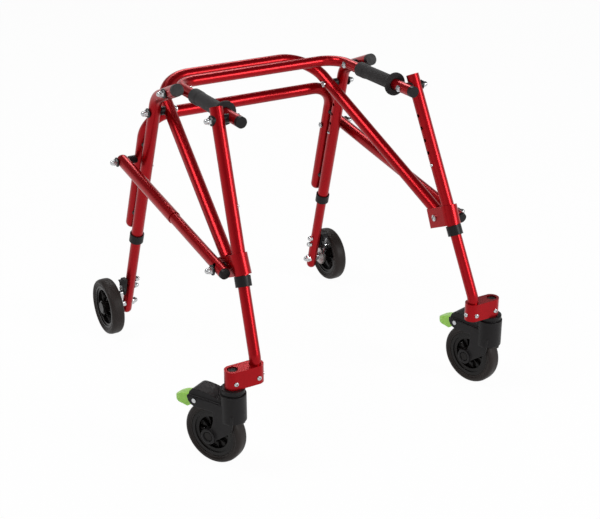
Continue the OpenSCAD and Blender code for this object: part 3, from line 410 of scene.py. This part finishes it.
def solids(node: str) -> List[bpy.types.Mesh]:
    """A node's separate solids.

    Args:
        node: the CAD node, which stays as it is.

    Returns:
        One closed mesh for each solid, from the lowest centre to the highest.
    """
    shape = bmesh.new()
    shape.from_mesh(frame["nodes"][node].data)
    bmesh.ops.remove_doubles(shape, verts=shape.verts, dist=MERGE)
    left = set(shape.faces)
    found: List[Tuple[float, bpy.types.Mesh]] = []
    while left:
        group, edge = set(), [left.pop()]
        while edge:
            face = edge.pop()
            group.add(face)
            near = {other for side in face.edges for other in side.link_faces} & left
            left -= near
            edge.extend(near)
        corners = list({vert for face in group for vert in face.verts})
        number = {vert: i for i, vert in enumerate(corners)}
        mesh = bpy.data.meshes.new(f"{node}_solid")
        mesh.from_pydata([vert.co for vert in corners], [],
                         [[number[vert] for vert in face.verts] for face in group])
        heights = [vert.co.z for vert in corners]
        found.append(((min(heights) + max(heights)) / 2, mesh))
    shape.free()
    return [mesh for _, mesh in sorted(found, key=lambda pair: pair[0])]


def joined(meshes: Sequence[bpy.types.Mesh]) -> bpy.types.Mesh:
    """Several meshes in one.

    Args:
        meshes: the meshes to join.

    Returns:
        The joined mesh.
    """
    shape = bmesh.new()
    for mesh in meshes:
        shape.from_mesh(mesh)
    whole = bpy.data.meshes.new("joined")
    shape.to_mesh(whole)
    shape.free()
    return whole


def box_of(mesh: bpy.types.Mesh) -> Tuple[Vector, Vector]:
    """The low and high corners of a mesh."""
    return (Vector([min(v.co[k] for v in mesh.vertices) for k in range(3)]),
            Vector([max(v.co[k] for v in mesh.vertices) for k in range(3)]))


@dataclass
class SocketScrew:
    """A button-head screw with a hexagon socket."""

    head_r: float
    head_h: float
    stem_r: float
    stem_len: float
    dome: Tuple[Tuple[float, float], ...] = ((1.0, 0.0), (1.0, 0.3), (0.95, 0.6), (0.82, 0.84), (0.62, 0.98),
                                             (0.56, 1.0))
    socket_share: float = 0.36
    socket_floor: float = 0.25
    steps: int = 48

    def build(self, seat: Vector, axis: Vector) -> bpy.types.Mesh:
        """Builds the screw.

        Args:
            seat: the middle of the face the head sits on.
            axis: the direction from there to the head's top.

        Returns:
            The closed mesh.
        """
        r, h, hexagon = self.head_r, self.head_h, self.socket_share * self.head_r
        rings = [(self.stem_r, -self.stem_len, False), (self.stem_r, 0.0, False)]
        rings += [(share * r, up * h, False) for share, up in self.dome]
        rings += [(hexagon, h, True), (hexagon, self.socket_floor * h, True)]
        turn = stand(seat, axis)
        shape = bmesh.new()
        loops = []
        for radius, up, six in rings:
            loop = []
            for i in range(self.steps):
                a = 2 * math.pi * i / self.steps
                reach = radius / math.cos((a + math.pi / 6) % (math.pi / 3) - math.pi / 6) if six else radius
                loop.append(shape.verts.new(turn @ Vector((reach * math.cos(a), reach * math.sin(a), up))))
            loops.append(loop)
        for low, high in zip(loops, loops[1:]):
            for i in range(self.steps):
                j = (i + 1) % self.steps
                shape.faces.new((low[i], low[j], high[j], high[i]))
        for loop, up in ((loops[0], -self.stem_len), (loops[-1], rings[-1][1])):
            hub = shape.verts.new(turn @ Vector((0, 0, up)))
            for i in range(self.steps):
                shape.faces.new((loop[i], loop[(i + 1) % self.steps], hub))
        bmesh.ops.recalc_face_normals(shape, faces=shape.faces)
        mesh = bpy.data.meshes.new("socket_screw")
        shape.to_mesh(mesh)
        shape.free()
        return mesh


def axle_of(joint: str) -> Vector:
    """The direction of a joint's axis."""
    return Vector(next(j["axis"] for j in frame["joints"] if j["name"] == joint))


def middle(node: str) -> Vector:
    """The centre of a node's box."""
    low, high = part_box(node)
    return (low + high) / 2


@dataclass
class TubeFrame:
    """The coated tubes with their brackets, fasteners and black fittings."""

    tubes: Tuple[str, ...] = ("back_bow", "corner_brackets", "front_uprights", "handle_bow", "rear_legs",
                              "lower_cross_bow")
    side_tubes: Tuple[str, ...] = ("strut_tube", "strut_slider", "front_leg", "caster_block", "rear_foot")
    fittings: Tuple[str, ...] = ("handle_plugs", "front_collars", "frame_washers", "rear_leg_caps",
                                 "rear_collars", "rear_spacers")
    fasteners: Tuple[str, ...] = ("frame_bolts", "frame_cap_nuts", "strut_bolts")
    side_fasteners: Tuple[str, ...] = ("strut_button", "front_button", "rear_button")

    def build(self, shop: Workshop) -> None:
        """Dresses every tube, fitting and fastener.

        Args:
            shop: the workshop.
        """
        for node in self.tubes + self.on_sides(self.side_tubes):
            shop.dress(node, CANDY_RED)
        for node in self.fittings + self.on_sides(("strut_plug",)):
            shop.dress(node, BLACK_NYLON)
        for node in self.fasteners + self.on_sides(self.side_fasteners):
            shop.dress(node, ZINC_STEEL)

    def on_sides(self, names: Sequence[str]) -> Tuple[str, ...]:
        """Both sides' names of side nodes."""
        return tuple(side.node(name) for side in Side for name in names)


@dataclass
class HandGrips:
    """Foam sleeves on the handle bow, each with a flange at its front end."""

    length: float = 130 * MM
    swell_r: float = 15.2 * MM
    swell_len: float = 26 * MM
    body_r: float = 14.1 * MM
    flange_r: float = 23.4 * MM
    flange_len: float = 5 * MM
    edge: float = 2.5 * MM
    slack: float = 0.05 * MM
    cuts: int = 3
    steps: int = 64

    def build(self, shop: Workshop) -> None:
        """Builds both sleeves as one piece of foam.

        Args:
            shop: the workshop.
        """
        low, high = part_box("hand_grips")
        plug_low, plug_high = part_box("handle_plugs")
        bore = (plug_high.z - plug_low.z) / 2 + self.slack
        height = (low.z + high.z) / 2
        reach = (high.x - low.x) / 2 - (high.z - low.z) / 2
        meshes = [revolve(rounded(self.section(bore), self.cuts), Vector((side.sign * reach, low.y, height)),
                          Vector((0, 1, 0)), self.steps) for side in Side]
        piece = shop.put("foam_grips", joined(meshes), FOAM, "front_frame", ["hand_grips"])

    def section(self, bore: float) -> Profile:
        """The sleeve's section, from the front end.

        Args:
            bore: the radius of the tube inside.

        Returns:
            Radius and distance along the tube.
        """
        e, f, n = self.edge, self.flange_len, self.length
        return [(bore, 0), (bore, n / 3), (bore, 2 * n / 3), (bore, n), (bore, n),
                (self.swell_r - e, n), (self.swell_r, n), (self.swell_r, n - e),
                (self.swell_r, n - self.swell_len + 4 * e), (self.swell_r, n - self.swell_len + e),
                (self.body_r, n - self.swell_len - e), (self.body_r, n - self.swell_len - 4 * e),
                (self.body_r, n / 2), (self.body_r, f + 4 * e), (self.body_r, f + e), (self.body_r + e, f),
                (self.flange_r - e, f), (self.flange_r, f), (self.flange_r, f / 2), (self.flange_r, 0),
                (self.flange_r - e, 0), (bore + e, 0)]


@dataclass
class Tyre:
    """A solid tyre with a rim bead, a bulging wall and a crowned tread."""

    radius: float = 62.5 * MM
    half_width: float = 15 * MM
    depth: float = 15 * MM
    # Millimetres out from the bead and in from the side: the bead and the groove outside it.
    bead: Tuple[Tuple[float, float], ...] = ((0, 3.6), (0, 2.1), (1.6, 1.9), (2.6, 2.2), (3.2, 2.6),
                                             (4.2, 1.6))
    # Millimetres in from the tread and in from the side: the bulging wall and the crown.
    wall: Tuple[Tuple[float, float], ...] = ((9, 0.2), (6.5, 0), (3.6, 1.1), (1.3, 4), (0.25, 7.5),
                                             (0, 10.5))
    cuts: int = 2
    steps: int = 128

    def section(self) -> Profile:
        """The tyre's section.

        Returns:
            Radius and distance along the axle.
        """
        r, w, low = self.radius, self.half_width, self.radius - self.depth
        half = [(low, 0.0)] + [(low + out * MM, w - side * MM) for out, side in self.bead]
        half += [(r - down * MM, w - side * MM) for down, side in self.wall] + [(r, 0.0)]
        return half + [(x, -u) for x, u in reversed(half[1:-1])]

    def build(self, shop: Workshop, node: str, axle: Vector, body: str) -> None:
        """Builds the tyre in a node's place.

        Args:
            shop: the workshop.
            node: the CAD tyre.
            axle: the axle's direction.
            body: the wheel's body.
        """
        mesh = revolve(rounded(self.section(), self.cuts), middle(node), axle, self.steps)
        shop.put(f"{node}_moulded", mesh, TYRE_PU, body, [node])


@dataclass
class WheelCentre:
    """A moulded wheel centre: a stepped rim, a thin web stiffened by ribs, and a hub."""

    bead_r: float
    pocket_r: float
    bore: float
    ring_share: float = 0.5
    rim_half: float = 12 * MM
    web_half: float = 2 * MM
    hub_r: float = 14.9 * MM
    hub_half: float = 15 * MM
    edge: float = 1.2 * MM
    ribs: int = 10
    rib_t: float = 2.4 * MM
    rib_half: Tuple[float, float] = (9.5 * MM, 7 * MM)
    rib_edge: float = 0.35 * MM
    cuts: int = 2
    steps: int = 96

    def section(self) -> Profile:
        """The wheel centre's section.

        Returns:
            Radius and distance along the axle.
        """
        e, w, f = self.edge, self.web_half, self.rim_half
        ring = self.pocket_r + self.ring_share * (self.bead_r - self.pocket_r)
        half = [(self.bore, 0), (self.bore, self.hub_half - e), (self.bore + e / 2, self.hub_half),
                (self.hub_r - e, self.hub_half), (self.hub_r, self.hub_half), (self.hub_r, self.hub_half - e),
                (self.hub_r, w + 2 * e), (self.hub_r, w), (self.hub_r + 2 * e, w), (self.pocket_r - 2 * e, w),
                (self.pocket_r, w), (self.pocket_r, w + 2 * e), (self.pocket_r, f - 4 * e),
                (self.pocket_r, f - 2.5 * e), (self.pocket_r + e, f - 2.5 * e), (ring - e, f - 2 * e),
                (ring, f - 2 * e), (ring, f - 1.2 * e), (ring, f), (ring + e, f), (self.bead_r - e, f),
                (self.bead_r, f), (self.bead_r, f - e), (self.bead_r, 0)]
        return half + [(r, -u) for r, u in reversed(half[1:-1])]

    def rib_mesh(self, place: Matrix) -> bpy.types.Mesh:
        """The ribs from the hub to the rim, lower at the rim.

        Args:
            place: the move from the axle's own frame.

        Returns:
            One closed solid for each rib.
        """
        shape = bmesh.new()
        for i in range(self.ribs):
            turn = place @ Matrix.Rotation(2 * math.pi * i / self.ribs, 4, "Z")
            ends = zip((self.hub_r - self.edge, self.pocket_r + self.edge), self.rib_half)
            inner, outer = [[shape.verts.new(turn @ Vector((r, s * self.rib_t / 2, u * h)))
                             for s, u in ((-1, -1), (1, -1), (1, 1), (-1, 1))] for r, h in ends]
            shape.faces.new(inner)
            shape.faces.new(outer)
            for j in range(4):
                k = (j + 1) % 4
                shape.faces.new((inner[j], inner[k], outer[k], outer[j]))
        bmesh.ops.recalc_face_normals(shape, faces=shape.faces)
        bmesh.ops.bevel(shape, geom=shape.edges[:], offset=self.rib_edge, segments=2, affect="EDGES")
        mesh = bpy.data.meshes.new("ribs")
        shape.to_mesh(mesh)
        shape.free()
        return mesh

    def build(self, shop: Workshop, node: str, axle: Vector, body: str) -> None:
        """Builds the centre in a node's place.

        Args:
            shop: the workshop.
            node: the CAD rim or hub.
            axle: the axle's direction.
            body: the wheel's body.
        """
        mesh = joined([revolve(rounded(self.section(), self.cuts), middle(node), axle, self.steps),
                       self.rib_mesh(stand(middle(node), axle))])
        shop.put(f"{node}_moulded", mesh, WHEEL_PP, body, [node])


@dataclass
class Caster:
    """A swivel caster: its moulded fork and brake pedal, its axle, rivet and screws, and its wheel."""

    side: Side
    tyre: Tyre = field(default_factory=lambda: Tyre(radius=62.5 * MM))
    centre: WheelCentre = field(default_factory=lambda: WheelCentre(
        bead_r=47.4 * MM, pocket_r=33 * MM, bore=4.1 * MM))
    screw: SocketScrew = field(default_factory=lambda: SocketScrew(
        head_r=4.6 * MM, head_h=2 * MM, stem_r=2 * MM, stem_len=3 * MM))
    fork_mould: Mould = Mould(voxel_mm=0.8, passes=7, keep=0.3)
    pedal_mould: Mould = Mould(voxel_mm=0.6, passes=24, keep=0.4)

    def build(self, shop: Workshop) -> None:
        """Builds the moulded pieces and dresses the rest.

        Args:
            shop: the workshop.
        """
        name = self.side.node
        shop.put(name("fork_moulded"), self.fork_mould.cast(name("caster_fork")), BLACK_NYLON, name("caster"),
                 [name("caster_fork")])
        shop.put(name("pedal_moulded"), self.pedal_mould.cast(name("brake_pedal")), GREEN_NYLON,
                 name("brake_pedal"), [name("brake_pedal")])
        axle = axle_of(name("caster_roll"))
        self.centre.build(shop, name("caster_rim"), axle, name("caster_wheel"))
        self.tyre.build(shop, name("caster_tyre"), axle, name("caster_wheel"))
        bolt, rivet = solids(name("caster_pins"))
        shop.put(name("caster_axle"), bolt, BLACK_OXIDE, name("caster"), [], crisp=True)
        shop.put(name("brake_rivet"), rivet, ZINC_STEEL, name("caster"), [name("caster_pins")],
                 crisp=True)
        self.block_screws(shop)

    def block_screws(self, shop: Workshop) -> None:
        """Builds the stem and the screws of the caster's block.

        Args:
            shop: the workshop.
        """
        name = self.side.node
        block = middle(name("caster_block"))
        parts = sorted(solids(name("caster_bolts")), key=lambda mesh: box_of(mesh)[1].z - box_of(mesh)[0].z)
        screws = []
        for mesh in parts[:-1]:
            low, high = box_of(mesh)
            size, centre = high - low, (low + high) / 2
            along = min(range(3), key=lambda k: size[k])
            out = Vector([math.copysign(1.0, (centre - block)[k]) if k == along else 0.0 for k in range(3)])
            screws.append(self.screw.build(centre + (size[along] / 2 - self.screw.head_h) * out, out))
        shop.put(name("caster_stem"), parts[-1], BLACK_OXIDE, name("front_leg"), [], crisp=True)
        shop.put(name("block_screws"), joined(screws), ZINC_STEEL, name("front_leg"),
                 [name("caster_bolts")], crisp=True)


@dataclass
class RearWheel:
    """A fixed rear wheel with its hub, axle cap, ratchet, pawl and pawl spring."""

    side: Side
    tyre: Tyre = field(default_factory=lambda: Tyre(radius=63.5 * MM))
    centre: WheelCentre = field(default_factory=lambda: WheelCentre(
        bead_r=48.4 * MM, pocket_r=39 * MM, bore=5.1 * MM, ribs=6))
    cap_r: float = 13.2 * MM
    cap_edge: float = 1.2 * MM
    cap_steps: int = 64
    cap_cuts: int = 2
    trim: float = 0.05 * MM

    def build(self, shop: Workshop) -> None:
        """Builds the wheel and dresses the one-way set.

        Args:
            shop: the workshop.
        """
        name = self.side.node
        axle = axle_of(name("rear_roll"))
        self.centre.build(shop, name("rear_hub"), axle, name("rear_wheel"))
        self.tyre.build(shop, name("rear_tyre"), axle, name("rear_wheel"))
        shop.dress(name("pawl_block"), BLACK_NYLON)
        shop.dress(name("ratchet"), CAST_ZINC)
        for part in ("pawl", "pawl_spring"):
            shop.dress(name(part), ZINC_STEEL)
        self.axle(shop)

    def axle(self, shop: Workshop) -> None:
        """Builds the axle with its nuts, and the black cap on its outer end.

        Args:
            shop: the workshop.
        """
        name = self.side.node
        low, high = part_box(name("rear_hub"))
        face = max(abs(low.x), abs(high.x))
        shape = bmesh.new()
        shape.from_mesh(joined(solids(name("axle_set"))))
        ends = [v.co.x for v in shape.verts if abs(v.co.x) > face]
        seat, top = min(map(abs, ends)), max(map(abs, ends))
        outer = [f for f in shape.faces if abs(f.calc_center_median().x) > seat - self.trim]
        bmesh.ops.delete(shape, geom=outer, context="FACES")
        bmesh.ops.holes_fill(shape, edges=shape.edges)
        bmesh.ops.recalc_face_normals(shape, faces=shape.faces)
        mesh = bpy.data.meshes.new("axle")
        shape.to_mesh(mesh)
        shape.free()
        shop.put(name("axle_fasteners"), mesh, ZINC_STEEL, name("rear_foot"), [name("axle_set")],
                 crisp=True)
        centre = middle(name("rear_hub"))
        cap = revolve(self.cap_section(top - seat), Vector((self.side.sign * seat, centre.y, centre.z)),
                      Vector((self.side.sign, 0, 0)), self.cap_steps)
        shop.put(name("axle_cap"), cap, WHEEL_PP, name("rear_foot"), [])

    def cap_section(self, tall: float) -> Profile:
        """The cap's section.

        Args:
            tall: how far the cap stands out.

        Returns:
            Radius and distance out from its seat.
        """
        r, e = self.cap_r, self.cap_edge
        turned = rounded([(0, 0), (r / 2, 0), (r - e, 0), (r, 0), (r, tall / 2), (r, tall - e / 2),
                          (r - e, tall), (r - 2 * e, tall), (r / 2, tall), (0, tall)], self.cap_cuts)
        return [(0, 0)] + [point for point in turned if point[0] > 0] + [(0, tall)]


@dataclass(frozen=True)
class Softbox:
    """One round soft lamp: where it hangs, the point it faces, its width in metres and its power in watts."""

    name: str
    place: Place
    aim: Place
    size: float
    watts: float

    def hang(self) -> None:
        """Makes the lamp and turns it to its aim."""
        data = bpy.data.lights.new(self.name, "AREA")
        data.shape, data.size, data.energy = "DISK", self.size, self.watts
        lamp = bpy.data.objects.new(self.name, data)
        lamp.location = self.place
        lamp.rotation_euler = (Vector(self.aim) - Vector(self.place)).to_track_quat("-Z", "Y").to_euler()
        bpy.context.scene.collection.objects.link(lamp)


@dataclass
class Studio:
    """The pale floor, the soft lamps, the white surround and the camera."""

    eye: Place = (-1.1821, -2.4094, 1.3146)
    tilt: Place = (66.29, 0.0, -30.36)
    lens: float = 74.9
    shift: Tuple[float, float] = (-0.0117, -0.0172)
    sensor: float = 36.0
    clip: Tuple[float, float] = (0.05, 60.0)
    lamps: Tuple[Softbox, ...] = (
        Softbox("key_softbox", place=(-0.4, -2.4, 2.7), aim=(0.0, -0.3, 0.35), size=0.8, watts=12.0),
        Softbox("right_softbox", place=(1.45, -2.75, 1.5), aim=(0.0, -0.45, 0.5), size=0.9, watts=44.0),
        Softbox("top_softbox", place=(-1.15, -0.05, 2.45), aim=(0.0, -0.3, 0.35), size=1.1, watts=30.0),
        Softbox("back_softbox", place=(0.9, 1.8, 2.4), aim=(0.0, -0.3, 0.35), size=1.0, watts=18.0))
    floor_size: float = 14.0
    floor_drop: float = 0.2 * MM
    floor_colour: str = "#F4F4F4"
    ambient: float = 0.6
    floor_white: float = 0.97
    ceiling: str = "#5A5A5A"
    sweep_top: float = 0.15
    ceiling_edge: float = 0.45

    def build(self) -> None:
        """Sets the view, the floor, the surround, the lamps and the camera."""
        bpy.context.scene.view_settings.view_transform = "Standard"
        self.floor()
        self.surround()
        for lamp in self.lamps:
            lamp.hang()
        self.camera()

    def seen(self, tree: bpy.types.NodeTree) -> bpy.types.NodeSocket:
        """A factor that is 1 for rays that show the background.

        Args:
            tree: the node tree.

        Returns:
            The factor's socket.
        """
        path = add(tree, "ShaderNodeLightPath").outputs
        some = add(tree, "ShaderNodeMath", {"operation": "MAXIMUM"}, {
            0: path["Is Camera Ray"], 1: path["Is Glossy Ray"]}).outputs[0]
        return add(tree, "ShaderNodeMath", {"operation": "MAXIMUM"}, {
            0: some, 1: path["Is Transmission Ray"]}).outputs[0]

    def floor(self) -> None:
        """Lays the pale floor, which keeps a faint shadow."""
        half = self.floor_size / 2
        shape = bmesh.new()
        shape.faces.new([shape.verts.new((x * half, y * half, -self.floor_drop))
                         for x, y in ((-1, -1), (1, -1), (1, 1), (-1, 1))])
        mesh = bpy.data.meshes.new("studio_floor")
        shape.to_mesh(mesh)
        shape.free()
        piece = bpy.data.objects.new("studio_floor", mesh)
        bpy.context.scene.collection.objects.link(piece)
        material = bpy.data.materials.new("PaintedStudioFloorWhite")
        material.use_nodes = True
        tree = material.node_tree
        tree.nodes.clear()
        matt = add(tree, "ShaderNodeBsdfDiffuse", None, {"Color": linear(self.floor_colour)}).outputs[0]
        white = add(tree, "ShaderNodeEmission", None, {"Color": linear(WHITE), "Strength": 1.0}).outputs[0]
        share = add(tree, "ShaderNodeMath", {"operation": "MULTIPLY"}, {
            0: self.seen(tree), 1: self.floor_white}).outputs[0]
        mixed = add(tree, "ShaderNodeMixShader", None, {0: share, 1: matt, 2: white}).outputs[0]
        add(tree, "ShaderNodeOutputMaterial", None, {"Surface": mixed})
        mesh.materials.append(material)

    def surround(self) -> None:
        """Makes a white sweep under a grey ceiling, dimmer for the light it gives than for what shows."""
        world = bpy.data.worlds.new("studio_surround")
        bpy.context.scene.world = world
        world.use_nodes = True
        tree = world.node_tree
        tree.nodes.clear()
        up = add(tree, "ShaderNodeSeparateXYZ", None, {
            0: add(tree, "ShaderNodeTexCoord").outputs["Generated"]}).outputs["Z"]
        climb = add(tree, "ShaderNodeMapRange", None, {
            "Value": up, "From Min": self.sweep_top, "From Max": self.ceiling_edge}).outputs[0]
        shade = add(tree, "ShaderNodeMix", {"data_type": "RGBA"}, {
            "Factor": climb, 6: linear(WHITE), 7: linear(self.ceiling)}).outputs[2]
        plain = add(tree, "ShaderNodeBackground", None, {"Color": shade, "Strength": self.ambient}).outputs[0]
        white = add(tree, "ShaderNodeBackground", None, {"Color": shade, "Strength": 1.0}).outputs[0]
        mixed = add(tree, "ShaderNodeMixShader", None, {0: self.seen(tree), 1: plain, 2: white}).outputs[0]
        add(tree, "ShaderNodeOutputWorld", None, {"Surface": mixed})

    def camera(self) -> None:
        """Sets the camera at the photograph's view."""
        data = bpy.data.cameras.new("studio_camera")
        data.sensor_width, data.lens = self.sensor, self.lens
        data.shift_x, data.shift_y = self.shift
        data.clip_start, data.clip_end = self.clip
        camera = bpy.data.objects.new("studio_camera", data)
        camera.location = self.eye
        camera.rotation_euler = [math.radians(a) for a in self.tilt]
        bpy.context.scene.collection.objects.link(camera)
        bpy.context.scene.camera = camera


def main() -> None:
    """Builds the walker and the studio."""
    logging.basicConfig(level=logging.INFO, format="%(name)s: %(message)s")
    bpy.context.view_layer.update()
    shop = Workshop()
    Studio().build()
    TubeFrame().build(shop)
    HandGrips().build(shop)
    for side in Side:
        Caster(side).build(shop)
        RearWheel(side).build(shop)
    LOG.info("finished with %d finishes", len(shop.finishes))


if __name__ == "__main__":
    main()
